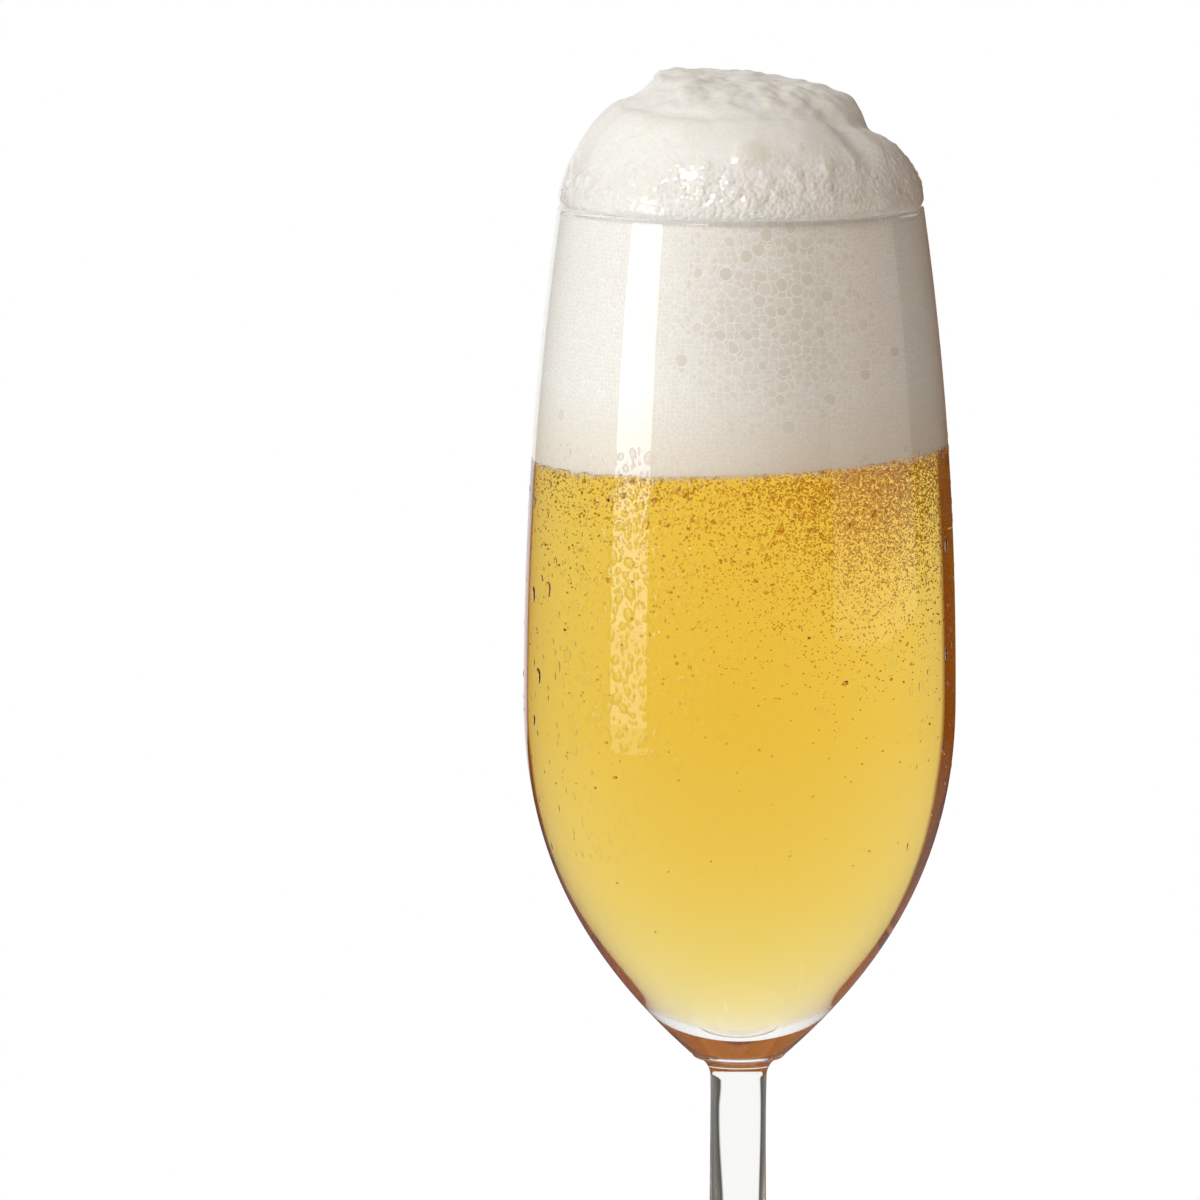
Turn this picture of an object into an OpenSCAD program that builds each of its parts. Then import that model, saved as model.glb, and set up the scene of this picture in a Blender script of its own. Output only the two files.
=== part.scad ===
// Stemmed tulip glass for beer, filled and crowned with a head of foam.
// Millimetres, Z up. The glass stands on the plane Z = 0 and its axis is the Z axis.

/* [Bowl] */
// Outside diameter of the rim
rim_d = 58.7; // [52:0.1:66]
// Outside diameter of the belly, the widest place
belly_d = 70; // [66:0.5:80]
// Height of the bowl, from its seat on the collar to the rim
bowl_h = 138.4; // [125:0.2:160]
// Height of the belly above the seat
belly_rise = 57.4; // [50:0.2:68]
// Power of the curve that draws the flank in from the belly to the rim
flank_power = 2.1; // [1.5:0.1:3]
// Thickness of the wall
wall = 1.4; // [1:0.1:2]
// Thickness of the bottom at the axis
base_t = 6.5; // [4:0.5:9]
// Diameter of the flat seat on the collar
seat_d = 16.2; // [15.6:0.1:20]
// Angle at which the outside leaves the seat, measured from level
seat_slope = 43; // [30:1:46]
// Reach of the outer curve above the seat
seat_pull = 18; // [15:0.1:20]
// Reach of the inner curve along the level floor
floor_pull = 13; // [9:0.5:15]
// Reach of both curves straight down from the belly
belly_pull = 28; // [24:0.5:32]

/* [Collar] */
// Diameter of the collar between bowl and stem
collar_d = 15.2; // [12:0.1:15.6]
// Height of the collar
collar_h = 4.2; // [3:0.1:6]
// Height of the collar's rounded edge
collar_edge = 0.8; // [0.5:0.1:1.4]

/* [Stem] */
// Diameter of the stem
stem_d = 9.2; // [7:0.1:11]
// Length of the stem
stem_h = 28.4; // [15:0.2:60]

/* [Foot] */
// Diameter of the foot
foot_d = 64; // [54:0.5:76]
// Height of the foot, from the table to the stem
foot_h = 19; // [14:0.5:26]
// Thickness of the foot at its rounded edge
foot_edge = 2.2; // [1.6:0.1:3]
// Reach of the flare straight down from the stem
neck_pull = 3.5; // [2:0.5:6]
// Reach of the flare inward from the edge
spread_pull = 18; // [12:0.5:20]
// Rise of the flare over that reach
spread_rise = 2.8; // [1.5:0.1:4]
// Diameter of the shallow hollow under the foot
hollow_d = 50; // [40:0.5:50]
// Height of that hollow at the axis
hollow_h = 1.4; // [0.4:0.1:2]

/* [Drink] */
// Depth of the beer line below the rim
beer_drop = 39.2; // [15:0.1:60]
// Height of the foam's crown above the rim
crown_h = 21.6; // [10:0.1:26]
// Reach of the crown's side straight up from the lip
crown_pull = 14; // [8:0.5:18]
// Reach of the crown's top outward from the axis
crown_spread = 19; // [14:0.5:22]
// Diameter of the lobes of foam that swell out over the lip on one side
lobe_d = 16; // [12:0.5:18]
// Overhang of those lobes past the outside of the rim
lobe_over = 0.5; // [0:0.1:1.5]
// Clearance between the lobes and the lip below them
lobe_gap = 0.3; // [0.2:0.1:1]
// Angle between one lobe and the next
lobe_step = 19; // [14:1:24]

/* [Hidden] */
$fn = 96;
curve_steps = 24;
flank_steps = 9;
round_steps = 10;
lobes_each_side = 1;
glass_colour = [0.86, 0.91, 0.92, 0.45];
beer_colour = [0.89, 0.72, 0.27, 0.8];
foam_colour = [0.95, 0.93, 0.88];

belly_r = belly_d / 2;
stem_r = stem_d / 2;
hollow_r = hollow_d / 2;
stem_z = foot_h;
collar_z = stem_z + stem_h;
seat_z = collar_z + collar_h;
floor_z = seat_z + base_t;
belly_z = seat_z + belly_rise;
rim_z = seat_z + bowl_h;
lip_z = rim_z - wall / 2;
beer_z = rim_z - beer_drop;
crown_z = rim_z + crown_h;

// Heights at which the flank is drawn, shared by the bowl, the beer and the foam
beer_flank = [for (i = [1:flank_steps]) belly_z + (beer_z - belly_z) * i / flank_steps];
foam_flank = [for (i = [1:flank_steps]) beer_z + (lip_z - beer_z) * i / flank_steps];

// Outer radius of the wall at a height between the belly and the rim
function flank(z) = belly_r - (belly_r - rim_d / 2) * pow((z - belly_z) / (rim_z - belly_z), flank_power);

function bezier(p, t) =
    pow(1 - t, 3) * p[0] + 3 * pow(1 - t, 2) * t * p[1] + 3 * (1 - t) * t * t * p[2] + pow(t, 3) * p[3];

function curve(p) = [for (i = [0:curve_steps]) bezier(p, i / curve_steps)];

// Points strictly inside a half round, turning left from one angle through 180 degrees
function half_round(centre, r, from) =
    [for (i = [1:round_steps - 1]) let (a = from + 180 * i / round_steps) centre + r * [cos(a), sin(a)]];

function reversed(p) = [for (i = [len(p) - 1:-1:0]) p[i]];

// Outside of the bowl from its seat to the belly
outer_low = curve([
    [seat_d / 2, seat_z],
    [seat_d / 2 + seat_pull * cos(seat_slope), seat_z + seat_pull * sin(seat_slope)],
    [belly_r, belly_z - belly_pull],
    [belly_r, belly_z]
]);

// Inside of the bowl from its floor to the belly
inner_low = curve([
    [0, floor_z],
    [floor_pull, floor_z],
    [belly_r - wall, belly_z - belly_pull],
    [belly_r - wall, belly_z]
]);

function outer_flank(heights) = [for (z = heights) [flank(z), z]];

function inner_flank(heights) = [for (z = heights) [flank(z) - wall, z]];

module foot() {
    edge_r = foot_edge / 2;
    edge_x = foot_d / 2 - edge_r;
    flare = curve([
        [edge_x, foot_edge],
        [edge_x - spread_pull, foot_edge + spread_rise],
        [stem_r, foot_h - neck_pull],
        [stem_r, foot_h]
    ]);
    hollow = [
        for (i = [0:round_steps])
            let (r = hollow_r * i / round_steps) [r, hollow_h * (1 - pow(r / hollow_r, 2))]
    ];
    color(glass_colour)
        rotate_extrude()
            polygon(concat(
                hollow,
                [[edge_x, 0]],
                half_round([edge_x, edge_r], edge_r, -90),
                flare,
                [[0, foot_h]]
            ));
}

module stem() {
    color(glass_colour)
        translate([0, 0, stem_z])
            cylinder(d = stem_d, h = stem_h);
}

module collar() {
    edge_r = collar_edge / 2;
    edge_x = collar_d / 2 - edge_r;
    sweep = curve([
        [stem_r, collar_z],
        [stem_r, collar_z + collar_h / 2],
        [edge_x - collar_edge, seat_z - collar_edge],
        [edge_x, seat_z - collar_edge]
    ]);
    color(glass_colour)
        rotate_extrude()
            polygon(concat(
                [[0, collar_z]],
                sweep,
                half_round([edge_x, seat_z - edge_r], edge_r, -90),
                [[edge_x, seat_z], [0, seat_z]]
            ));
}

module bowl() {
    heights = concat(beer_flank, foam_flank);
    lip = half_round([flank(lip_z) - wall / 2, lip_z], wall / 2, 0);
    color(glass_colour)
        rotate_extrude()
            polygon(concat(
                [[0, seat_z]],
                outer_low,
                outer_flank(heights),
                lip,
                reversed(inner_flank(heights)),
                reversed(inner_low)
            ));
}

module beer() {
    color(beer_colour)
        rotate_extrude()
            polygon(concat(inner_low, inner_flank(beer_flank), [[0, beer_z]]));
}

module foam_head() {
    lip_r = flank(lip_z) - wall;
    crown = curve([
        [lip_r, lip_z],
        [lip_r, lip_z + crown_pull],
        [crown_spread, crown_z],
        [0, crown_z]
    ]);
    lobe_r = lobe_d / 2;
    lobe_x = rim_d / 2 + lobe_over - lobe_r;
    lobe_rise = sqrt(pow(lobe_r, 2) - pow(lip_r - lobe_x, 2));
    color(foam_colour) {
        rotate_extrude()
            polygon(concat(
                [[0, beer_z]],
                inner_flank([beer_z]),
                inner_flank([for (i = [0:flank_steps - 2]) foam_flank[i]]),
                crown
            ));
        for (i = [-lobes_each_side:lobes_each_side])
            rotate([0, 0, i * lobe_step])
                translate([lobe_x, 0, rim_z + lobe_gap + lobe_rise])
                    sphere(r = lobe_r);
    }
}

foot();
stem();
collar();
bowl();
beer();
foam_head();
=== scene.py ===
import math

import bmesh
import bpy
import numpy as np
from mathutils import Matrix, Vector, kdtree, noise


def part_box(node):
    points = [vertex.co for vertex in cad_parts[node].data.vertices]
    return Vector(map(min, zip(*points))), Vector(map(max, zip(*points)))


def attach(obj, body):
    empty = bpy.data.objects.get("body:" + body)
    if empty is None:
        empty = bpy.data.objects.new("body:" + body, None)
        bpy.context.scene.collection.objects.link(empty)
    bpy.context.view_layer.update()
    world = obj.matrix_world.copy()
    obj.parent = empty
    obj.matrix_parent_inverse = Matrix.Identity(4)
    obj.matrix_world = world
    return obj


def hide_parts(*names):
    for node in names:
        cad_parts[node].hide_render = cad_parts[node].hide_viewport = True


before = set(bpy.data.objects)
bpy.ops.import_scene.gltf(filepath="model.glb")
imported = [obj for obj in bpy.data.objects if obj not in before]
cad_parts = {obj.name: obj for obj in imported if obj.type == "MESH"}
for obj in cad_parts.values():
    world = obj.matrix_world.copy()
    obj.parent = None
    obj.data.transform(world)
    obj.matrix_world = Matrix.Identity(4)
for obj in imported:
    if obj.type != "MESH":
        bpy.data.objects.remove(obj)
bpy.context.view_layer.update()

# Foot: a pressed disc of clear glass that flares up to the stem in one sweep.
# Its edge is rounded by the flame, and it is slightly hollow below, so that it stands on a flat ring.
MM = 0.001
stem_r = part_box("stem")[1].x
foot_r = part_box("foot")[1].x
foot_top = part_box("foot")[1].z
foot_edge = 2.2 * MM
neck_pull = 3.5 * MM
spread_pull = 18 * MM
spread_rise = 2.8 * MM
hollow_r = 25 * MM
hollow_h = 1.4 * MM
round_turns = 224
level_slack = 1e-6
glass_ior = 1.52
ripple_long = 16 * MM
ripple_deep = 0.03 * MM


def bezier(points, steps):
    """Points along a cubic curve with the given four control points."""
    p = np.array(points, float)
    t = np.linspace(0, 1, steps + 1)[:, None]
    return (1 - t) ** 3 * p[0] + 3 * (1 - t) ** 2 * t * p[1] + 3 * (1 - t) * t ** 2 * p[2] + t ** 3 * p[3]


def half_round(centre, radius, start, steps=14):
    """Points inside a half round that turns left from the start angle, in degrees."""
    turn = np.radians(start + np.linspace(0, 180, steps + 1)[1:-1])
    return np.array(centre) + radius * np.stack([np.cos(turn), np.sin(turn)], 1)


def around(turns):
    """Even angles once round the axis."""
    return np.linspace(0, 2 * math.pi, turns, endpoint=False)


def closed_rings(rings, low_end, high_end):
    """Points and faces of a closed skin over stacked rings, with a point at each end of the axis."""
    rows, turns = rings.shape[:2]
    points = np.vstack([rings.reshape(-1, 3), [low_end, high_end]])
    here = np.arange(turns)
    after = (here + 1) % turns
    low, high = rows * turns, rows * turns + 1
    faces = [(low, b, a) for a, b in zip(here, after)]
    for first in range(0, (rows - 1) * turns, turns):
        second = first + turns
        faces += np.stack([first + here, first + after, second + after, second + here], 1).tolist()
    last = (rows - 1) * turns
    faces += [(last + a, last + b, high) for a, b in zip(here, after)]
    return points, faces


def turned(outline, turns=round_turns):
    """Points and faces of a body of revolution, whose outline runs from the axis to the axis."""
    outline = np.array(outline)
    angle = around(turns)
    r, z = outline[1:-1, 0], outline[1:-1, 1]
    level = np.repeat(z[:, None], turns, 1)
    rings = np.stack([np.outer(r, np.cos(angle)), np.outer(r, np.sin(angle)), level], 2)
    return closed_rings(rings, (0, 0, outline[0, 1]), (0, 0, outline[-1, 1]))


def piece_of(name, points, faces, materials, slot, nodes=(), sharp=50):
    """A smooth-shaded piece that rides on the glass and stands for the named nodes."""
    mesh = bpy.data.meshes.new(name)
    mesh.from_pydata(np.asarray(points).tolist(), [], faces)
    mesh.shade_smooth()
    mesh.set_sharp_from_angle(angle=math.radians(sharp))
    for material in materials:
        mesh.materials.append(material)
    piece = bpy.data.objects.new(name, mesh)
    bpy.context.scene.collection.objects.link(piece)
    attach(piece, "root")
    if nodes:
        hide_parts(*nodes)
    return piece


def linear(code):
    """A colour written as sRGB hex, as the linear values that shaders take."""
    parts = [int(code[i:i + 2], 16) / 255 for i in (1, 3, 5)]
    return tuple(v / 12.92 if v <= 0.04045 else ((v + 0.055) / 1.055) ** 2.4 for v in parts) + (1.0,)


def add_node(tree, kind, settings=None, links=None):
    """Adds a node. Settings are its properties or input values, links are the sources of its inputs."""
    node = tree.nodes.new(kind)
    for key, value in (settings or {}).items():
        if isinstance(key, str) and hasattr(node, key):
            setattr(node, key, value)
        else:
            node.inputs[key].default_value = value
    for key, source in (links or {}).items():
        tree.links.new(source, node.inputs[key])
    return node


def new_material(name):
    """An empty material and its node tree."""
    material = bpy.data.materials.new(name)
    material.use_nodes = True
    material.node_tree.nodes.clear()
    return material, material.node_tree


# Soda-lime glass, fire-polished: colourless and mirror smooth, with the faint ripple of a surface
# that froze as it flowed.
clear_glass, tree = new_material("soda_lime_glass")
spot = add_node(tree, "ShaderNodeTexCoord")
ripple = add_node(tree, "ShaderNodeTexNoise", {"Scale": 1 / ripple_long, "Detail": 1.0},
                  {"Vector": spot.outputs["Object"]})
bump = add_node(tree, "ShaderNodeBump", {"Strength": 0.3, "Distance": ripple_deep},
                {"Height": ripple.outputs["Fac"]})
surface = add_node(tree, "ShaderNodeBsdfPrincipled",
                   {"Base Color": linear("#fdfefe"), "Roughness": 0.0, "IOR": glass_ior,
                    "Transmission Weight": 1.0}, {"Normal": bump.outputs["Normal"]})
add_node(tree, "ShaderNodeOutputMaterial", links={"Surface": surface.outputs["BSDF"]})

# Fused joint: where two pieces of glass were melted together, no surface is left for light to bend at.
fused_joint, tree = new_material("fused_glass_joint")
spot = add_node(tree, "ShaderNodeTexCoord")
cords = add_node(tree, "ShaderNodeTexNoise", {"Scale": 1 / (4 * MM)}, {"Vector": spot.outputs["Object"]})
colour = add_node(tree, "ShaderNodeValToRGB", links={"Fac": cords.outputs["Fac"]})
colour.color_ramp.elements[0].color = linear("#fdfefe")
colour.color_ramp.elements[1].color = linear("#ffffff")
surface = add_node(tree, "ShaderNodeBsdfPrincipled",
                   {"Roughness": 0.0, "IOR": 1.0, "Transmission Weight": 1.0},
                   {"Base Color": colour.outputs["Color"]})
add_node(tree, "ShaderNodeOutputMaterial", links={"Surface": surface.outputs["BSDF"]})


def glass_piece(name, outline, node, joints, turns=round_turns):
    """A piece of the glass. Each joint is a height and a radius within which it is fused to its neighbour."""
    piece = piece_of(name, *turned(outline, turns), [clear_glass, fused_joint], "glass", [node])
    for face in piece.data.polygons:
        x, y, z = face.center
        for height, radius in joints:
            if abs(z - height) < level_slack and math.hypot(x, y) < radius:
                face.material_index = 1
    return piece


edge_x = foot_r - foot_edge / 2
under = [(r, hollow_h * (1 - (r / hollow_r) ** 2)) for r in np.linspace(0, hollow_r, 12)]
edge = half_round((edge_x, foot_edge / 2), foot_edge / 2, start=-90)
flare = bezier([(edge_x, foot_edge), (edge_x - spread_pull, foot_edge + spread_rise),
                (stem_r, foot_top - neck_pull), (stem_r, foot_top)], steps=40)
outline = np.vstack([under, [(edge_x, 0)], edge, flare, [(0, foot_top)]])
foot = glass_piece("foot_disc", outline, "foot", [(foot_top, stem_r)])

# Stem: a solid rod of the same glass, drawn hot from the collar and fused to the foot. Drawing leaves
# long faint waves in its skin. The two skins of a fused joint lie a hair apart, so that light never
# meets both in one plane.
weld = 0.01 * MM
wave = 0.22 * MM
wave_round = 2.0 * MM
wave_long = 26 * MM
wave_ease = 4 * MM
rod_rows = 33
stem_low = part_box("stem")[0].z + weld
stem_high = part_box("stem")[1].z - weld
rod = [(stem_r, z) for z in np.linspace(stem_low, stem_high, rod_rows)]
outline = np.vstack([[(0, stem_low)], rod, [(0, stem_high)]])
stem = glass_piece("stem_rod", outline, "stem", [(stem_low, stem_r), (stem_high, stem_r)])
for point in stem.data.vertices:
    x, y, z = point.co
    ease = min(1.0, (z - stem_low) / wave_ease, (stem_high - z) / wave_ease)
    swing = noise.noise((x / wave_round, y / wave_round, z / wave_long))
    reach = 1 + ease * wave * swing / stem_r
    point.co = (x * reach, y * reach, z)

# Collar: a gather of glass between stem and bowl, with a soft ring under the bowl and a hollow sweep
# down to the stem. It is fused to both.
collar_low, collar_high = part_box("collar")
collar_edge = 0.8 * MM
ring_x = collar_high.x - collar_edge / 2
ring_z = collar_high.z - collar_edge
sweep = bezier([(stem_r, collar_low.z), (stem_r, (collar_low.z + collar_high.z) / 2),
                (ring_x - collar_edge, ring_z), (ring_x, ring_z)], steps=24)
ring = half_round((ring_x, ring_z + collar_edge / 2), collar_edge / 2, start=-90)
outline = np.vstack([[(0, collar_low.z)], sweep, ring, [(ring_x, collar_high.z), (0, collar_high.z)]])
collar = glass_piece("collar_ring", outline, "collar", [(collar_low.z, stem_r), (collar_high.z, ring_x)])

# Bowl: blown in a mould, widest low down and drawn in to the rim, with a thin wall and a heavy bottom.
# The rim was cut and melted round.
seat_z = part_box("bowl")[0].z
rim_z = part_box("bowl")[1].z
belly_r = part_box("bowl")[1].x
floor_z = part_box("beer")[0].z
belly_z = seat_z + 57.4 * MM
rim_r = 29.35 * MM
seat_r = 8.1 * MM
wall = 1.4 * MM
lip_z = rim_z - wall / 2
flank_power = 2.1
belly_pull = 28 * MM
floor_pull = 13 * MM
seat_pull = 18 * MM
seat_slope = math.radians(43)


def flank(z):
    """Outer radius of the bowl between its belly and its rim."""
    return belly_r - (belly_r - rim_r) * ((z - belly_z) / (rim_z - belly_z)) ** flank_power


def inside_low(stand_off):
    """Inside of the bowl from its floor up to the belly, moved into the glass by a stand-off."""
    r = belly_r - wall + stand_off
    low = floor_z - stand_off
    return bezier([(0, low), (floor_pull, low), (r, belly_z - belly_pull), (r, belly_z)], steps=64)


climb = np.linspace(belly_z, lip_z, 61)[1:]
lift_off = (seat_r + seat_pull * math.cos(seat_slope), seat_z + seat_pull * math.sin(seat_slope))
outer_low = bezier([(seat_r, seat_z), lift_off, (belly_r, belly_z - belly_pull), (belly_r, belly_z)],
                   steps=64)
outer_side = np.stack([flank(climb), climb], 1)
lip = half_round((flank(lip_z) - wall / 2, lip_z), wall / 2, start=0)
inner_side = (outer_side - (wall, 0))[::-1]
underside = [(0, seat_z + weld), (ring_x, seat_z + weld)]
outline = np.vstack([underside, outer_low, outer_side, lip, inner_side, inside_low(0)[::-1]])
bowl = glass_piece("bowl_tulip", outline, "bowl", [(seat_z + weld, ring_x)], turns=288)

# Wetted glass: the inside of the bowl below the beer line, where light bends only by the small step
# between glass and beer, so the wall all but vanishes. The beer stands higher on one side.
beer_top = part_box("beer")[1].z
surface_rise = 0.042
beer_ior = 1.34
inside_slope = 0.3
wetted_glass, tree = new_material("beer_wetted_glass")
spot = add_node(tree, "ShaderNodeTexCoord")
ripple = add_node(tree, "ShaderNodeTexNoise", {"Scale": 1 / ripple_long, "Detail": 1.0},
                  {"Vector": spot.outputs["Object"]})
bump = add_node(tree, "ShaderNodeBump", {"Strength": 0.3, "Distance": ripple_deep},
                {"Height": ripple.outputs["Fac"]})
surface = add_node(tree, "ShaderNodeBsdfPrincipled",
                   {"Base Color": linear("#ffffff"), "Roughness": 0.0, "IOR": glass_ior / beer_ior,
                    "Transmission Weight": 1.0}, {"Normal": bump.outputs["Normal"]})
add_node(tree, "ShaderNodeOutputMaterial", links={"Surface": surface.outputs["BSDF"]})
bowl.data.materials.append(wetted_glass)
for face in bowl.data.polygons:
    spot = face.center
    outward = (face.normal.x * spot.x + face.normal.y * spot.y) / math.hypot(spot.x, spot.y)
    if outward < inside_slope and floor_z - level_slack < spot.z < beer_top + surface_rise * spot.x:
        face.material_index = 2

# Beer: clear golden lager, poured in, that wets the inside of the bowl with no air between.
# It ends under the foam, which sinks deeper into it on one side.
beer_gap = 0.02 * MM
rise_depth = 18 * MM


def lifted(points):
    """Points of the beer, with its top tilted, since the foam sinks deeper into it on one side."""
    share = np.clip((points[:, 2] - beer_top + rise_depth) / rise_depth, 0, 1)
    lift = surface_rise * points[:, 0] * share ** 2 * (3 - 2 * share)
    return points + lift[:, None] * (0, 0, 1)


climb = np.linspace(belly_z, beer_top, 41)[1:]
side = np.stack([flank(climb) - wall - beer_gap, climb], 1)
beer_points, beer_faces = turned(np.vstack([inside_low(-beer_gap), side, [(0, beer_top)]]))

# Lager: clear as water. Its gold comes from the depth that light crosses, so it is pale in the narrow
# bottom and deep at the belly. Its skin bends no light, since the wetted glass already does.
lager, tree = new_material("golden_lager")
spot = add_node(tree, "ShaderNodeTexCoord")
haze = add_node(tree, "ShaderNodeTexNoise", {"Scale": 1 / (14 * MM)}, {"Vector": spot.outputs["Object"]})
colour = add_node(tree, "ShaderNodeValToRGB", links={"Fac": haze.outputs["Fac"]})
colour.color_ramp.elements[0].color = linear("#fffdf6")
colour.color_ramp.elements[1].color = linear("#ffffff")
surface = add_node(tree, "ShaderNodeBsdfPrincipled",
                   {"Roughness": 0.0, "IOR": 1.0, "Transmission Weight": 1.0},
                   {"Base Color": colour.outputs["Color"]})
gold = add_node(tree, "ShaderNodeVolumeAbsorption", {"Color": (0.955, 0.826, 0.15, 1.0), "Density": 50.0})
add_node(tree, "ShaderNodeOutputMaterial",
         links={"Surface": surface.outputs["BSDF"], "Volume": gold.outputs["Volume"]})
beer = piece_of("beer_fill", lifted(beer_points), beer_faces, [lager], "beer", ["beer"])

# Gas bubbles: carbonation that hangs in the beer, as a veil under the foam and a cloud on one side.
# Each is a hole in the beer, so its skin faces inwards. It bends and mirrors the gold around it, and its
# amber tint is painted light, for light scattered among the bubbles. Places and sizes are in millimetres.
veil = 4000
veil_depth = 8
veil_behind = 12
cloud = 5400
cloud_depth = 14
cloud_at = 17
cloud_wide = 11
cloud_behind = 8
strays = 150
stray_depth = 70
stray_behind = 66
half_width = 33
bubble_r = 0.14
least_r = 0.06
most_r = 0.32
foam_clear = 0.6
wall_clear = 0.1
chance = np.random.default_rng(7)


def inside_radius(z):
    """Inner radius of the bowl at any height of the drink."""
    low = inside_low(0)
    return np.where(z > belly_z, flank(np.maximum(z, belly_z)) - wall, np.interp(z, low[:, 1], low[:, 0]))


def ball(detail):
    """Points and faces of a round ball of radius 1."""
    shape = bmesh.new()
    bmesh.ops.create_icosphere(shape, subdivisions=detail, radius=1.0)
    points = np.array([v.co for v in shape.verts])
    faces = np.array([[v.index for v in f.verts] for f in shape.faces])
    shape.free()
    return points, faces


def copies(shape, faces, centres, sizes):
    """Points and faces of one shape repeated at many places and sizes."""
    points = (shape[None] * sizes[:, None, None] + centres[:, None]).reshape(-1, 3)
    first = np.arange(len(centres))[:, None, None] * len(shape)
    return points, (faces[None] + first).reshape(-1, faces.shape[1])


def bubbles_in_beer(depth, across, behind, size):
    """Points and faces of gas bubbles, placed by their depth under the foam, their place from side to side,
    their depth behind the front wall, and their usual size, all in millimetres."""
    level = beer_top - (depth + foam_clear) * MM
    front = np.sqrt(np.maximum(inside_radius(level) ** 2 - (across * MM) ** 2, 0))
    centres = np.stack([across * MM, behind * MM - front, level], 1)
    sizes = np.clip(size * chance.lognormal(0, 0.28, len(depth)), least_r, most_r) * MM
    within = np.hypot(centres[:, 0], centres[:, 1]) < inside_radius(level) - sizes - wall_clear * MM
    points, faces = ball(1)
    points, faces = copies(points, faces[:, ::-1], lifted(centres[within]), sizes[within])
    return points, faces.tolist()


gas, tree = new_material("carbonation_gas")
spot = add_node(tree, "ShaderNodeTexCoord")
patchy = add_node(tree, "ShaderNodeTexNoise", {"Scale": 1 / (3 * MM)}, {"Vector": spot.outputs["Object"]})
# The amber tint of the bubbles is painted light: it stands for light scattered among them in the beer.
colour = add_node(tree, "ShaderNodeValToRGB", links={"Fac": patchy.outputs["Fac"]})
colour.color_ramp.elements[0].color = linear("#f4cf84")
colour.color_ramp.elements[1].color = linear("#fde6b6")
surface = add_node(tree, "ShaderNodeBsdfPrincipled",
                   {"Roughness": 0.0, "IOR": beer_ior, "Transmission Weight": 1.0},
                   {"Base Color": colour.outputs["Color"]})
add_node(tree, "ShaderNodeOutputMaterial", links={"Surface": surface.outputs["BSDF"]})
depth = np.concatenate([chance.exponential(veil_depth, veil), np.abs(chance.normal(0, cloud_depth, cloud)),
                        chance.uniform(0, stray_depth, strays)])
across = np.concatenate([chance.uniform(-half_width, half_width, veil),
                         chance.normal(cloud_at, cloud_wide, cloud),
                         chance.uniform(-half_width, half_width, strays)])
behind = np.concatenate([chance.exponential(veil_behind, veil), chance.exponential(cloud_behind, cloud),
                         chance.uniform(0, stray_behind, strays)])
bubbles = piece_of("gas_bubbles", *bubbles_in_beer(depth, across, behind, bubble_r), [gas], "beer", sharp=90)

# Gas mist: the finest carbonation, which rises too slowly to clear.
# It hangs in the beer close to the wall, on the same side as the cloud.
mist = 9800
mist_depth = 9
mist_at = 24
mist_wide = 7
mist_behind = 3
mist_r = 0.105
depth = np.abs(chance.normal(0, mist_depth, mist))
across = chance.normal(mist_at, mist_wide, mist)
behind = chance.exponential(mist_behind, mist)
fine_gas = piece_of("gas_mist", *bubbles_in_beer(depth, across, behind, mist_r), [gas], "beer", sharp=90)

# Foam head: a froth of fine bubbles, wet and coarse against the glass and at the lip, dry and smooth
# on top. It fills the bowl down to the beer and rests on the rim in two tiers, with a swollen side.
foam_turns = 640
floor_rows = 8
side_rows = 60
steps_per_knot = 16
foam_wetting = 0.12 * MM
beer_clear = 0.05 * MM
# Outlines of the crown on its low side, in front and on its swollen side: radius, and height above the rim.
low_side = np.array([(27.95, -0.7), (28.2, 0.05), (29.0, 0.2), (29.3, 1.4), (28.4, 4.8), (26.1, 9.2),
                     (23.3, 12.9), (20.6, 15.9), (18.7, 16.9), (16.4, 18.0), (14.6, 19.8), (13.2, 21.1),
                     (7.0, 21.1), (0.3, 20.6)]) * MM
front_side = np.array([(27.95, -0.7), (28.2, 0.05), (29.0, 0.2), (29.35, 1.4), (28.6, 4.6), (27.0, 8.6),
                       (24.8, 12.2), (22.2, 14.9), (20.2, 16.0), (17.6, 17.4), (14.2, 18.6), (10.0, 19.6),
                       (5.0, 20.4), (0.3, 20.6)]) * MM
swollen_side = np.array([(27.95, -0.7), (28.2, 0.05), (29.0, 0.2), (29.25, 1.4), (28.4, 4.2), (26.9, 6.8),
                         (25.0, 9.0), (22.7, 10.4), (20.9, 11.9), (19.4, 14.8), (17.2, 17.2), (14.2, 18.5),
                         (7.3, 19.9), (0.3, 20.5)]) * MM
fold_knot = 8.0
fold_wide = 0.6
bulge_below = 1.3
bulge_wide = 0.7
bulge = 0.4
# Lumps of the froth, in millimetres: spacing, height on the lower tier, and how much more on the cap.
lump_sizes = ((9, 0.35, 0.0), (3.6, 0.16, 0.44), (1.7, 0.05, 0.17))
angle = around(foam_turns)
swell = ((1 + np.cos(angle)) / 2)[None, :, None] ** 1.5
facing = ((1 - np.sin(angle)) / 2)[None, :, None] ** 3


def smooth_through(knots, steps):
    """Points on a smooth line through each column of knots."""
    padded = np.concatenate([2 * knots[:1] - knots[1:2], knots, 2 * knots[-1:] - knots[-2:-1]])
    t = np.linspace(0, 1, steps, endpoint=False)[:, None, None]
    line = []
    for a, b, c, d in zip(padded, padded[1:], padded[2:], padded[3:]):
        line.append(b + 0.5 * t * (c - a + t * (2 * a - 5 * b + 4 * c - d + t * (3 * b - a - 3 * c + d))))
    return np.concatenate(line)


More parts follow.
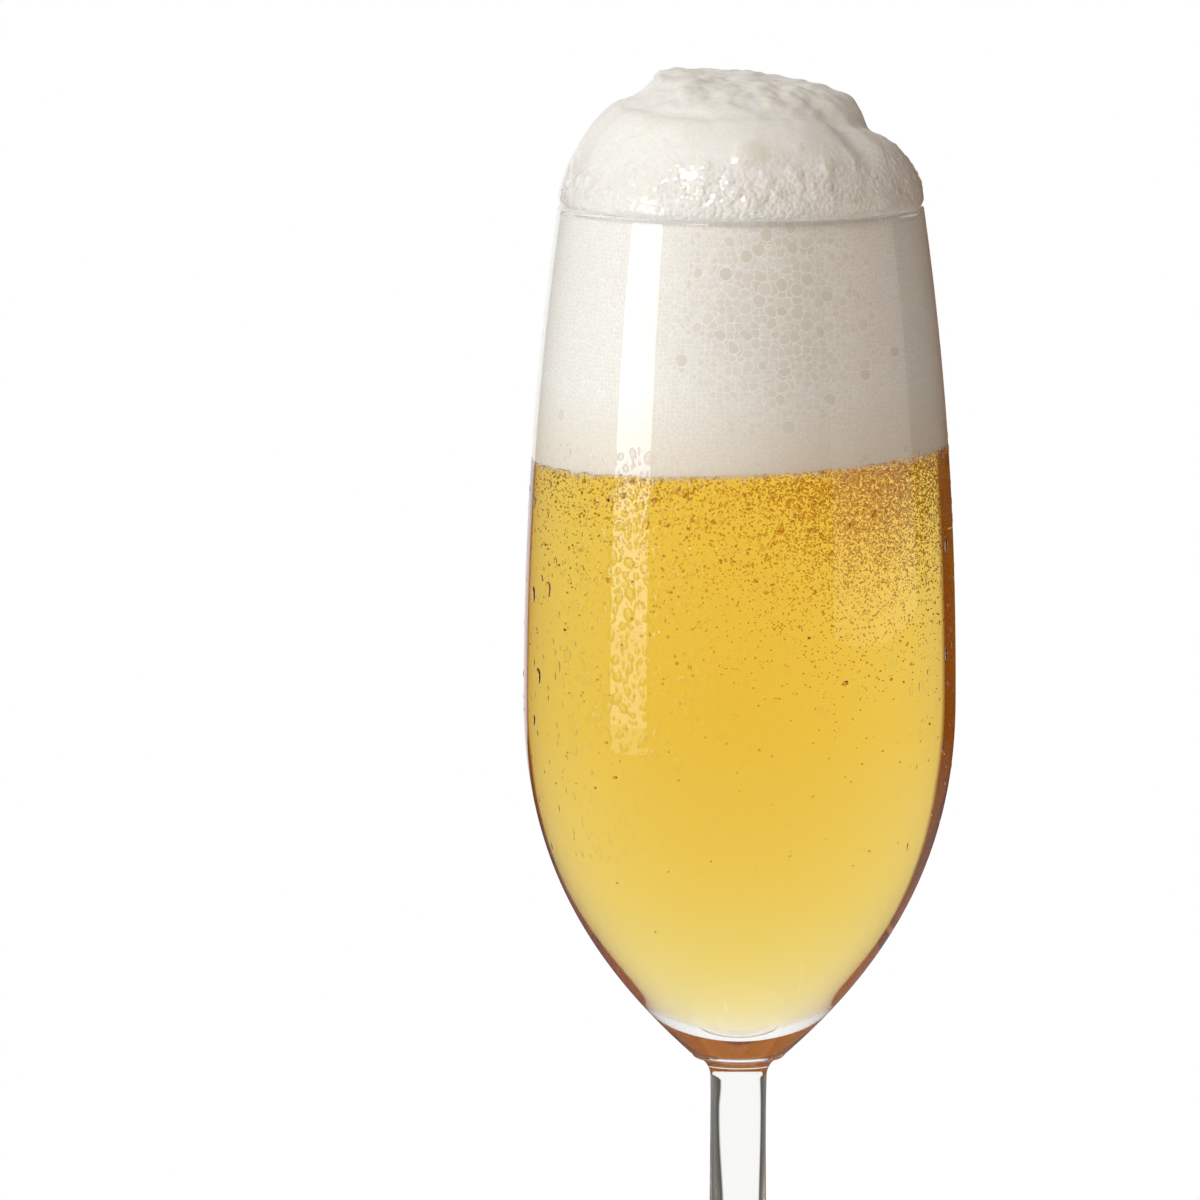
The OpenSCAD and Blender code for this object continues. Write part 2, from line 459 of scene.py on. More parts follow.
knots = low_side[:, None] * (1 - swell) + swollen_side[:, None] * swell
knots = knots * (1 - facing) + front_side[:, None] * facing
crown = smooth_through(knots, steps_per_knot) + (0, rim_z)
side_z = np.linspace(beer_top + beer_clear, lip_z, side_rows, endpoint=False)
side = np.stack([flank(side_z) - wall + foam_wetting, side_z], 1)
floor_r = np.linspace(0.4 * MM, side[0, 0], floor_rows, endpoint=False)
lower = np.vstack([np.stack([floor_r, np.full(floor_rows, side_z[0])], 1), side])
outline = np.concatenate([np.repeat(lower[:, None], foam_turns, 1), crown])
r, z = outline[:, :, 0], outline[:, :, 1]
rings = np.stack([r * np.cos(angle), r * np.sin(angle), z], 2)
sunk = np.clip((lip_z - z) / (lip_z - beer_top), 0, 1)
rings[:, :, 2] += surface_rise * rings[:, :, 0] * sunk
# Its lowest bubbles hang unevenly into the beer.
for row, part in ((floor_rows, 1.0), (floor_rows + 1, 0.6), (floor_rows + 2, 0.3)):
    for column in range(foam_turns):
        spot = Vector(rings[floor_rows, column])
        uneven = abs(noise.noise(spot / (0.65 * MM))) + 0.6 * abs(noise.noise(spot / (2.5 * MM)))
        rings[row, column, 2] -= part * (0.3 + 0.5 * uneven) * MM

normals = np.cross(np.roll(rings, -1, 1) - np.roll(rings, 1, 1), np.gradient(rings, axis=0))
normals /= np.maximum(np.linalg.norm(normals, axis=2, keepdims=True), 1e-12)
height = rings[:, :, 2] - rim_z
above = np.clip((height - 0.5 * MM) / (3 * MM), 0, 1)
flat_rings = rings.reshape(-1, 3)
lumps = np.zeros(len(flat_rings))
for n in np.nonzero(above.reshape(-1))[0]:
    spot = Vector(flat_rings[n])
    cap = min(1.0, max(0.0, (spot.z - rim_z) / (4 * MM) - 3.7))
    for spacing, low, more in lump_sizes:
        lumps[n] += (low + more * cap) * noise.noise(spot / (spacing * MM))
# The cap sits back from the lower tier. The fold where they meet is deepest on the swollen side.
knot = (np.arange(len(rings)) - floor_rows - side_rows) / steps_per_knot - fold_knot
fold = np.exp(-(knot / fold_wide) ** 2) - bulge * np.exp(-((knot + bulge_below) / bulge_wide) ** 2)
fold_depth = 0.14 + 0.2 * np.maximum(np.cos(angle), 0) + 0.06 * np.sin(3 * angle + 0.6)
nearby = kdtree.KDTree(len(flat_rings))
for n, spot in enumerate(flat_rings):
    nearby.insert(spot, n)
nearby.balance()
crown_rings = rings[floor_rows + side_rows:]


def on_crown(bearing, rise):
    """The place on the crown's side at a bearing, in degrees from the front, and a height above the rim."""
    column = int(round((bearing - 90) / 360 * foam_turns)) % foam_turns
    row = int(np.argmin(np.abs(crown_rings[:10 * steps_per_knot, column, 2] - rim_z - rise)))
    return Vector(crown_rings[row, column])


# Blown bubbles stand out of the wet tier as domes: a few clear flat films in front, wet ones that glint on
# the side of the lamp, and small ones all round. Each has a bearing, a rise, a radius in millimetres, how far
# it stands out for its radius, and how clear its film is: a clear film is greyed by painted shade and
# glosses.
film = np.zeros(len(flat_rings))
domes = np.zeros(len(flat_rings))
chance = np.random.default_rng(11)
blown = [(2, 10.2, 3.1, 0.1, 0.6), (2, 2.8, 2.2, 0.22, 0.4), (30, 8.4, 1.6, 0.12, 0.6),
         (12, 4.6, 1.2, 0.15, 0.6), (28, 5.2, 1.2, 0.12, 0.6), (20, 11.0, 0.9, 0.15, 0.4)]
wet_domes = 90
small_domes = 520
for _ in range(wet_domes):
    rise = chance.beta(1.0, 1.7) * 10
    blown.append((chance.uniform(-85, 30), rise, chance.uniform(0.7, 1.5), chance.uniform(0.17, 0.28), 0.12))
for _ in range(small_domes):
    size = float(np.clip(chance.lognormal(-0.55, 0.3), 0.4, 1.1))
    blown.append((chance.uniform(-180, 180), chance.beta(1.0, 2.2) * 13, size, 0.16, 0.25))
for bearing, rise, size, stand, clear in blown:
    for spot, n, gap in nearby.find_range(on_crown(bearing, rise * MM), size * MM):
        cap = max(0.0, 1 - (gap / size / MM) ** 2)
        domes[n] = max(domes[n], stand * size * cap)
        film[n] = max(film[n], clear * min(1.0, 1.8 * cap))
# One swollen lobe hangs out over the lip on the right of the front, behind a valley that runs down to it.
# Bearings are in degrees, sizes in millimetres.
lobe_at = 74
lobe_rise = 6.5
lobe_r = 10
lobe_swell = 0.4
valley_r = 4.2
valley_deep = 0.9
for spot, n, gap in nearby.find_range(on_crown(lobe_at, lobe_rise * MM), lobe_r * MM):
    lumps[n] += lobe_swell * (1 - (gap / lobe_r / MM) ** 2) ** 2
valley = np.zeros(len(flat_rings))
for share in np.linspace(0, 1, 14):
    middle = on_crown(45 + 5 * share, (17 - 8.5 * share) * MM)
    deep = math.sin(math.pi * (0.1 + 0.8 * share))
    for spot, n, gap in nearby.find_range(middle, valley_r * MM):
        valley[n] = max(valley[n], deep * (1 - (gap / valley_r / MM) ** 2) ** 2)
raised = (lumps + domes - valley_deep * valley).reshape(above.shape) - fold[:, None] * fold_depth
rings += normals * (raised * above * MM)[:, :, None]
foam_points, foam_faces = closed_rings(rings, (0, 0, side_z[0]), rings[-1].mean(0))
head_faces = len(foam_faces)
# The last small bubbles of the head cling to the wall just under it.
loose = 4500
loose_set = 0.05 * MM
chance = np.random.default_rng(31)
turn = chance.uniform(0, 2 * math.pi, loose)
size = chance.uniform(0.05, 0.11, loose) * MM
edge_z = rings[floor_rows, (turn / (2 * math.pi) * foam_turns).astype(int), 2]
level = edge_z - chance.exponential(0.4, loose) * MM
reach = inside_radius(level) + size + loose_set
centres = np.stack([reach * np.cos(turn), reach * np.sin(turn), level], 1)
loose_points, loose_faces = copies(*ball(1), centres, size)
foam_faces += (loose_faces + len(foam_points)).tolist()
foam_points = np.vstack([foam_points, loose_points])

# Beer froth: cream-white walls round hollow cells. Each cell is a little greyer than its wet walls by painted
# shade, for the dimmer light inside the hollow, and the wet froth at the lip glints.
froth, tree = new_material("beer_froth")
spot = add_node(tree, "ShaderNodeTexCoord")
parts = add_node(tree, "ShaderNodeSeparateXYZ", links={0: spot.outputs["Object"]})
wet = add_node(tree, "ShaderNodeAttribute", {"attribute_name": "wet"})
soak = add_node(tree, "ShaderNodeAttribute", {"attribute_name": "soak"})
film_of = add_node(tree, "ShaderNodeAttribute", {"attribute_name": "film"})
fine = add_node(tree, "ShaderNodeTexVoronoi", {"Scale": 1 / (0.75 * MM)}, {"Vector": spot.outputs["Object"]})
fine_shade = add_node(tree, "ShaderNodeMapRange", {1: 0.6, 2: 0.15, 3: 0.12, 4: 0.24},
                      {0: fine.outputs["Distance"]})
fall = add_node(tree, "ShaderNodeMath", {"operation": "MULTIPLY"},
                {0: fine.outputs["Distance"], 1: fine.outputs["Distance"]})
fine_dome = add_node(tree, "ShaderNodeMath", {"operation": "MULTIPLY_ADD", 1: -2.6, 2: 1.0},
                     {0: fall.outputs[0]})
# Against the glass the cells lie flat, so they are drawn on the wall unrolled: a fine net all over, and
# towards a coarse patch on the front ever larger cells let into it, with pale films where they meet.
forward = add_node(tree, "ShaderNodeMath", {"operation": "MULTIPLY", 1: -1.0}, {0: parts.outputs[1]})
bearing = add_node(tree, "ShaderNodeMath", {"operation": "ARCTAN2"},
                   {0: parts.outputs[0], 1: forward.outputs[0]})
girth = add_node(tree, "ShaderNodeMath", {"operation": "MULTIPLY", 1: rim_r}, {0: bearing.outputs[0]})
wall_spot = add_node(tree, "ShaderNodeCombineXYZ", links={0: girth.outputs[0], 1: parts.outputs[2]})
on_wall = add_node(tree, "ShaderNodeMapRange", {1: rim_z - 0.2 * MM, 2: rim_z - 0.8 * MM},
                   {0: parts.outputs[2]})
patch_at = (5 * MM, rim_z - 14 * MM, 0)
patch_size = (14 * MM, 16 * MM, 1)
off_patch = add_node(tree, "ShaderNodeVectorMath", {"operation": "SUBTRACT", 1: patch_at},
                     {0: wall_spot.outputs[0]})
in_sizes = add_node(tree, "ShaderNodeVectorMath", {"operation": "DIVIDE", 1: patch_size},
                    {0: off_patch.outputs[0]})
apart = add_node(tree, "ShaderNodeVectorMath", {"operation": "DOT_PRODUCT"},
                 {0: in_sizes.outputs[0], 1: in_sizes.outputs[0]})
less = add_node(tree, "ShaderNodeMath", {"operation": "MULTIPLY", 1: -1.0}, {0: apart.outputs["Value"]})
coarse = add_node(tree, "ShaderNodeMath", {"operation": "EXPONENT"}, {0: less.outputs[0]})
shade = fine_shade
dome = fine_dome
# Spacing of the cells in millimetres, how many of them there are in the coarse patch and elsewhere, how
# grey the painted shade of their hollows is, and the radius past which a cell ends, as a share of the
# spacing.
cell_sizes = ((0.68, 0.0, 1.0, 0.34, 2.0), (0.95, 2.2, -0.35, 0.42, 2.0), (1.3, 1.4, -0.45, 0.5, 2.0),
              (1.9, 0.75, -0.25, 0.56, 0.62), (3.2, 0.24, 0.01, 0.6, 0.36))
for spacing, there, elsewhere, hollow_shade, ends in cell_sizes:
    cell = {"voronoi_dimensions": "2D", "Randomness": 0.85, "Scale": 1 / (spacing * MM)}
    first = add_node(tree, "ShaderNodeTexVoronoi", cell, {"Vector": wall_spot.outputs[0]})
    second = add_node(tree, "ShaderNodeTexVoronoi", {"feature": "F2", **cell},
                      {"Vector": wall_spot.outputs[0]})
    nearness = add_node(tree, "ShaderNodeMath", {"operation": "DIVIDE"},
                        {0: first.outputs["Distance"], 1: second.outputs["Distance"]})
    outward = add_node(tree, "ShaderNodeMath", {"operation": "DIVIDE", 1: ends},
                       {0: first.outputs["Distance"]})
    to_edge = add_node(tree, "ShaderNodeMath", {"operation": "MAXIMUM"},
                       {0: nearness.outputs[0], 1: outward.outputs[0]})
    lot = add_node(tree, "ShaderNodeSeparateColor", links={0: first.outputs["Color"]})
    odds = add_node(tree, "ShaderNodeMath", {"operation": "MULTIPLY_ADD", 1: there, 2: elsewhere},
                    {0: coarse.outputs[0]})
    chosen = add_node(tree, "ShaderNodeMath", {"operation": "GREATER_THAN"},
                      {0: odds.outputs[0], 1: lot.outputs[0]})
    kept = add_node(tree, "ShaderNodeMath", {"operation": "MULTIPLY"},
                    {0: chosen.outputs[0], 1: on_wall.outputs[0]})
    covers = add_node(tree, "ShaderNodeMapRange", {1: 1.02, 2: 0.98}, {0: to_edge.outputs[0]})
    part = add_node(tree, "ShaderNodeMath", {"operation": "MULTIPLY"},
                    {0: kept.outputs[0], 1: covers.outputs[0]})
    # The hollow of a chosen cell gets painted shade, darker in some cells than in others.
    depth = add_node(tree, "ShaderNodeMapRange", {3: 0.7 * hollow_shade, 4: 1.15 * hollow_shade}, {0: lot.outputs[1]})
    look = add_node(tree, "ShaderNodeMapRange", {1: 0.9, 2: 0.9 - 0.16 / spacing ** 0.5, 3: 0.02},
                    {0: to_edge.outputs[0], 4: depth.outputs[0]})
    shade = add_node(tree, "ShaderNodeMix", {"data_type": "FLOAT"},
                     {0: part.outputs[0], 2: shade.outputs[0], 3: look.outputs[0]})
    dome = add_node(tree, "ShaderNodeMix", {"data_type": "FLOAT"},
                    {0: part.outputs[0], 2: dome.outputs[0], 3: look.outputs[0]})
# Clear films grey the froth with painted shade, for the dim hollow seen through them.
painted_film_shade = add_node(tree, "ShaderNodeMath", {"operation": "MULTIPLY", 1: 0.6}, {0: film_of.outputs["Fac"]})
shade = add_node(tree, "ShaderNodeMath", {"operation": "MAXIMUM"},
                 {0: shade.outputs[0], 1: painted_film_shade.outputs[0]})
colour = add_node(tree, "ShaderNodeValToRGB", links={"Fac": shade.outputs[0]})
colour.color_ramp.elements[0].color = linear("#fefdfa")
colour.color_ramp.elements[1].color = linear("#d3cdbc")
soaked_colour = add_node(tree, "ShaderNodeMix", {"data_type": "RGBA", 7: linear("#e6d9c4")},
                         {0: soak.outputs["Fac"], 6: colour.outputs["Color"]})
wet_strength = add_node(tree, "ShaderNodeMapRange", {3: 0.05, 4: 0.6}, {0: wet.outputs["Fac"]})
shiny = add_node(tree, "ShaderNodeMath", {"operation": "MAXIMUM"},
                 {0: wet.outputs["Fac"], 1: film_of.outputs["Fac"]})
gloss = add_node(tree, "ShaderNodeMapRange", {3: 0.08}, {0: shiny.outputs[0]})
bump = add_node(tree, "ShaderNodeBump", {"Distance": 0.2 * MM},
                {"Strength": wet_strength.outputs[0], "Height": dome.outputs[0]})
surface = add_node(tree, "ShaderNodeBsdfPrincipled",
                   {"Roughness": 0.5, "IOR": beer_ior, "Coat Roughness": 0.05, "Subsurface Weight": 0.4,
                    "Subsurface Radius": (1.0, 0.92, 0.72), "Subsurface Scale": 2.5 * MM},
                   {"Base Color": soaked_colour.outputs[2], "Normal": bump.outputs["Normal"],
                    "Coat Weight": gloss.outputs[0]})
add_node(tree, "ShaderNodeOutputMaterial", links={"Surface": surface.outputs["BSDF"]})

# Soaked froth: the underside of the head, wet through with beer and lit through it, so it glows amber.
soaked, tree = new_material("beer_soaked_froth")
spot = add_node(tree, "ShaderNodeTexCoord")
fine = add_node(tree, "ShaderNodeTexVoronoi", {"Scale": 1 / (0.8 * MM)}, {"Vector": spot.outputs["Object"]})
colour = add_node(tree, "ShaderNodeValToRGB", links={"Fac": fine.outputs["Distance"]})
colour.color_ramp.elements[0].color = linear("#d8962e")
colour.color_ramp.elements[1].color = linear("#e8ac48")
surface = add_node(tree, "ShaderNodeBsdfPrincipled", {"Roughness": 0.6, "IOR": beer_ior},
                   {"Base Color": colour.outputs["Color"]})
add_node(tree, "ShaderNodeOutputMaterial", links={"Surface": surface.outputs["BSDF"]})
foam = piece_of("foam_crown", foam_points, foam_faces, [froth, soaked], "foam", ["foam_head"], 80)
for face in foam.data.polygons[:head_faces]:
    if face.normal.z < -0.7 and face.center.z < beer_top + surface_rise * face.center.x + 1 * MM:
        face.material_index = 1
marks = (("film", film.reshape(above.shape) * above, 0.0),
         ("wet", np.interp(height / MM, [-0.3, 0.0, 5.0, 12.0], [0.2, 1.0, 0.9, 0.05]), 0.0),
         ("soak", np.interp(height / MM, [-39.0, -27.0], [0.6, 0.0]), 0.6))
for name, values, on_loose in marks:
    layer = foam.data.attributes.new(name, "FLOAT", "POINT")
    values = np.concatenate([values.reshape(-1), np.full(len(foam_points) - values.size, on_loose)])
    layer.data.foreach_set("value", values)

# Condensation: drops of water on the cold wall, thickest on the left of the front. The small ones have run
# into steep upright dashes from the belly up, and the larger ones sit above it as flat-topped domes.
dash_count = 900
drop_tries = 1500
drop_turns = 10
dash_size = 0.2
drop_size = 0.44
dash_swell = 0.28
drop_swell = 0.13
water_ior = 1.33
chance = np.random.default_rng(23)
profile_z = np.concatenate([outer_low[:, 1], outer_side[:, 1]])
profile_r = np.concatenate([outer_low[:, 0], outer_side[:, 0]])


def drop_shape(swell, power):
    """Points and faces of a drop of radius 1 on a flat wall, whose top is flatter for a higher power."""
    rows = []
    angle = around(drop_turns)
    for reach in (1.0, 0.88, 0.7, 0.4):
        level = np.full(drop_turns, swell * (1 - reach ** power))
        rows.append(np.stack([reach * np.cos(angle), reach * np.sin(angle), level], 1))
    return closed_rings(np.array(rows), (0, 0, -0.05), (0, 0, swell))


def some_turns(count):
    """Places round the glass, most of them on the left of the front."""
    crowd = chance.triangular(-62, -30, 22, count)
    return np.radians(np.where(chance.random(count) < 0.85, crowd, chance.uniform(-100, 100, count)) - 90)


drops = []
dash_turn = some_turns(dash_count)
dash_z = chance.uniform(belly_z - 22 * MM, beer_top + 3 * MM, dash_count)
dash_r = np.clip(chance.lognormal(math.log(dash_size), 0.25, dash_count), 0.1, 0.34) * MM
for turn, level, size in zip(dash_turn, dash_z, dash_r):
    drops.append((drop_shape(dash_swell, 2), turn, level, size, chance.uniform(2.0, 3.4)))
drop_turn = some_turns(drop_tries)
drop_z = belly_z - 5 * MM + chance.beta(1.4, 1.0, drop_tries) * (beer_top + 8 * MM - belly_z)
drop_r = np.sort(np.clip(chance.lognormal(math.log(drop_size), 0.4, drop_tries), 0.18, 1.1) * MM)[::-1]
kept = []
for n in range(drop_tries):
    apart = np.hypot((drop_turn[kept] - drop_turn[n]) * belly_r, drop_z[kept] - drop_z[n])
    if np.all(apart > 1.15 * (drop_r[kept] + drop_r[n])):
        kept.append(n)
        longer = chance.uniform(0.9, 1.3)
        drops.append((drop_shape(drop_swell, 4), drop_turn[n], drop_z[n], drop_r[n], longer))
bead_points = []
bead_faces = []
for (points, faces), turn, level, size, longer in drops:
    radius = np.interp(level, profile_z, profile_r)
    lean = (np.interp(level + 1 * MM, profile_z, profile_r) - radius) / MM
    out = Vector((math.cos(turn), math.sin(turn), -lean)).normalized()
    level_side = Vector((-math.sin(turn), math.cos(turn), 0))
    tilt = chance.normal(0, 0.22)
    along = math.cos(tilt) * level_side + math.sin(tilt) * out.cross(level_side)
    upward = out.cross(along)
    wobble = 1 + 0.12 * np.sin(2 * np.arctan2(points[:, 1], points[:, 0]) + turn * 40)
    shape = points * (1, longer, 1) * size
    shape[:, :2] *= wobble[:, None]
    seat = np.array((radius * math.cos(turn), radius * math.sin(turn), level))
    first = len(bead_points) * len(points)
    bead_faces += [[first + corner for corner in face] for face in faces]
    bead_points.append(seat + shape[:, :1] * along + shape[:, 1:2] * upward + shape[:, 2:] * out)

# Condensed water: clear and smooth, with the slight ripple of drops that have run together.
water, tree = new_material("condensed_water")
spot = add_node(tree, "ShaderNodeTexCoord")
ripple = add_node(tree, "ShaderNodeTexNoise", {"Scale": 1 / (0.5 * MM)}, {"Vector": spot.outputs["Object"]})
bump = add_node(tree, "ShaderNodeBump", {"Strength": 0.2, "Distance": 0.02 * MM},
                {"Height": ripple.outputs["Fac"]})
surface = add_node(tree, "ShaderNodeBsdfPrincipled",
                   {"Base Color": linear("#ffffff"), "Roughness": 0.0, "IOR": water_ior,
                    "Transmission Weight": 1.0}, {"Normal": bump.outputs["Normal"]})
add_node(tree, "ShaderNodeOutputMaterial", links={"Surface": surface.outputs["BSDF"]})
beads = piece_of("water_beads", np.vstack(bead_points), bead_faces, [water], "glass")

# Studio: a white sweep behind the glass, on a grey table in a dim amber room. A soft strip lamp stands on the
# left, a fill lamp high in front, and a dim card and a window on the right. Light reaches the foam straight
# through the clear pieces.
for piece in (bowl, beer, bubbles, fine_gas, beads):
    piece.visible_shadow = False
for piece in (foot, stem, collar, bowl, beer, bubbles, fine_gas, beads):
    piece.visible_diffuse = False
# Half widths of the sweep in degrees: seen through the glass high up and low down, and mirrored in it.
sweep_left = 44
sweep_right = 57
low_sweep_left = 36
low_sweep_right = 28
mirror_sweep = 14
mirror_turn = 8
# Colours past the edge of the sweep, by turning angle: a grey table close by, and a dim amber room beyond it.
# The paper right under the foot is lit through the glass. Distances from the foot are in metres.
table_end = 0.25
room_start = 0.6
under_start = 0.04
under_end = 0.08
table = ((0, "#ffffff"), (4, "#424244"), (40, "#7e7e7e"), (95, "#b4a488"))
room = ((0, "#ffffff"), (4, "#6e421e"), (30, "#6a421c"), (60, "#885622"), (95, "#dc8a2a"))


def white_where_seen(tree, place):
    """The studio's colour along a ray, how far it takes the place of the studio's light, and the distance.
    It is white to the camera, and through the glass white only behind it."""
    path = add_node(tree, "ShaderNodeLightPath")
    parts = add_node(tree, "ShaderNodeSeparateXYZ", links={0: place})
    bearing = add_node(tree, "ShaderNodeMath", {"operation": "ARCTAN2"},
                       {0: parts.outputs[0], 1: parts.outputs[1]})
    away = add_node(tree, "ShaderNodeVectorMath", {"operation": "LENGTH"}, {0: place})
    far = add_node(tree, "ShaderNodeMapRange", {1: table_end, 2: room_start}, {0: away.outputs["Value"]})
    on_right = add_node(tree, "ShaderNodeMath", {"operation": "GREATER_THAN", 1: 0.0}, {0: parts.outputs[0]})
    low_limit = add_node(tree, "ShaderNodeMapRange",
                         {3: math.radians(low_sweep_left), 4: math.radians(low_sweep_right)},
                         {0: on_right.outputs[0]})
    far_limit = add_node(tree, "ShaderNodeMapRange",
                         {3: math.radians(sweep_left), 4: math.radians(sweep_right)},
                         {0: on_right.outputs[0]})
    limit = add_node(tree, "ShaderNodeMix", {"data_type": "FLOAT"},
                     {0: far.outputs[0], 2: low_limit.outputs[0], 3: far_limit.outputs[0]})
    sideways = add_node(tree, "ShaderNodeMath", {"operation": "ABSOLUTE"}, {0: bearing.outputs[0]})
    past_through = add_node(tree, "ShaderNodeMath", {"operation": "SUBTRACT"},
                            {0: sideways.outputs[0], 1: limit.outputs[0]})
    turned_mirror = add_node(tree, "ShaderNodeMath", {"operation": "ADD", 1: math.radians(mirror_turn)},
                             {0: bearing.outputs[0]})
    mirror_side = add_node(tree, "ShaderNodeMath", {"operation": "ABSOLUTE"}, {0: turned_mirror.outputs[0]})
    mirror_limit = add_node(tree, "ShaderNodeMapRange",
                            {3: -math.radians(mirror_sweep), 4: math.radians(mirror_sweep)},
                            {0: far.outputs[0]})
    past_mirror = add_node(tree, "ShaderNodeMath", {"operation": "SUBTRACT"},
                           {0: mirror_side.outputs[0], 1: mirror_limit.outputs[0]})
    past = add_node(tree, "ShaderNodeMix", {"data_type": "FLOAT"},
                    {0: path.outputs["Is Transmission Ray"], 2: past_mirror.outputs[0],
                     3: past_through.outputs[0]})
    share = add_node(tree, "ShaderNodeMath", {"operation": "DIVIDE", 1: math.pi}, {0: past.outputs[0]})
    ramps = []
    for stops in (table, room):
        ramp = add_node(tree, "ShaderNodeValToRGB", links={0: share.outputs[0]})
        ramp.color_ramp.elements.remove(ramp.color_ramp.elements[1])
        for at, code in stops:
            stop = ramp.color_ramp.elements.new(at / 180) if at else ramp.color_ramp.elements[0]
            stop.color = linear(code)
        ramps.append(ramp)
    sweep = add_node(tree, "ShaderNodeMix", {"data_type": "RGBA"},
                     {0: far.outputs[0], 6: ramps[0].outputs[0], 7: ramps[1].outputs[0]})
    under = add_node(tree, "ShaderNodeMapRange", {1: under_start, 2: under_end, 3: 1.0, 4: 0.0},
                     {0: away.outputs["Value"]})
    lit_under = add_node(tree, "ShaderNodeMath", {"operation": "MULTIPLY"},
                         {0: under.outputs[0], 1: path.outputs["Is Transmission Ray"]})
    glowing = add_node(tree, "ShaderNodeMix", {"data_type": "RGBA", 7: linear("#f6e6c4")},
                       {0: lit_under.outputs[0], 6: sweep.outputs[2]})
    colour = add_node(tree, "ShaderNodeMix", {"data_type": "RGBA", 7: linear("#ffffff")},
                      {0: path.outputs["Is Camera Ray"], 6: glowing.outputs[2]})
    through = add_node(tree, "ShaderNodeMath", {"operation": "MAXIMUM"},
                       {0: path.outputs["Is Transmission Ray"], 1: path.outputs["Is Glossy Ray"]})
    direct = add_node(tree, "ShaderNodeMath", {"operation": "LESS_THAN", 1: 0.5},
                      {0: path.outputs["Diffuse Depth"]})
    clear = add_node(tree, "ShaderNodeMath", {"operation": "MULTIPLY"},
                     {0: through.outputs[0], 1: direct.outputs[0]})
    seen = add_node(tree, "ShaderNodeMath", {"operation": "MAXIMUM"},
                    {0: clear.outputs[0], 1: path.outputs["Is Camera Ray"]})
    return colour.outputs[2], seen.outputs[0], away.outputs["Value"]


floor_half = 6.0
shade_start = 0.05
shade_end = 0.115
shade_least = 0.75
floor_mesh = bpy.data.meshes.new("studio_floor")
corners = [(floor_half * x, floor_half * y, 0) for x, y in ((-1, -1), (1, -1), (1, 1), (-1, 1))]
floor_mesh.from_pydata(corners, [], [(0, 1, 2, 3)])
floor = bpy.data.objects.new("studio_floor", floor_mesh)
floor.location.z = -0.05 * MM
bpy.context.scene.collection.objects.link(floor)
paper, tree = new_material("white_paper")
spot = add_node(tree, "ShaderNodeTexCoord")
white, seen, away = white_where_seen(tree, spot.outputs["Object"])
share = add_node(tree, "ShaderNodeMapRange", {1: shade_start, 2: shade_end, 3: shade_least, 4: 1.0},
                 {0: away})
glowing = add_node(tree, "ShaderNodeMath", {"operation": "MULTIPLY"}, {0: seen, 1: share.outputs[0]})
matt = add_node(tree, "ShaderNodeBsdfDiffuse", {"Color": linear("#f2f2f2")})
glow = add_node(tree, "ShaderNodeEmission", {"Strength": 1.0}, {"Color": white})
mixed = add_node(tree, "ShaderNodeMixShader",
                 links={0: glowing.outputs[0], 1: matt.outputs[0], 2: glow.outputs[0]})
add_node(tree, "ShaderNodeOutputMaterial", links={"Surface": mixed.outputs[0]})
floor_mesh.materials.append(paper)

horizon_light = 0.05
top_light = 0.43
left_share = 1.5
right_share = 0.25
world = bpy.data.worlds.new("studio")
bpy.context.scene.world = world
world.use_nodes = True
tree = world.node_tree
tree.nodes.clear()
spot = add_node(tree, "ShaderNodeTexCoord")
white, seen, away = white_where_seen(tree, spot.outputs["Generated"])
up = add_node(tree, "ShaderNodeSeparateXYZ", links={0: spot.outputs["Generated"]})
overhead = add_node(tree, "ShaderNodeMapRange", {3: horizon_light, 4: top_light}, {0: up.outputs[2]})
across = add_node(tree, "ShaderNodeMapRange", {1: -1.0, 2: 1.0, 3: left_share, 4: right_share},
                  {0: up.outputs[0]})
dim = add_node(tree, "ShaderNodeMath", {"operation": "MULTIPLY"},
               {0: overhead.outputs[0], 1: across.outputs[0]})
ambient = add_node(tree, "ShaderNodeBackground", {"Color": linear("#fff7ec")}, {"Strength": dim.outputs[0]})
backdrop = add_node(tree, "ShaderNodeBackground", {"Strength": 1.0}, {"Color": white})
mixed = add_node(tree, "ShaderNodeMixShader", links={0: seen, 1: ambient.outputs[0], 2: backdrop.outputs[0]})
add_node(tree, "ShaderNodeOutputWorld", links={"Surface": mixed.outputs[0]})


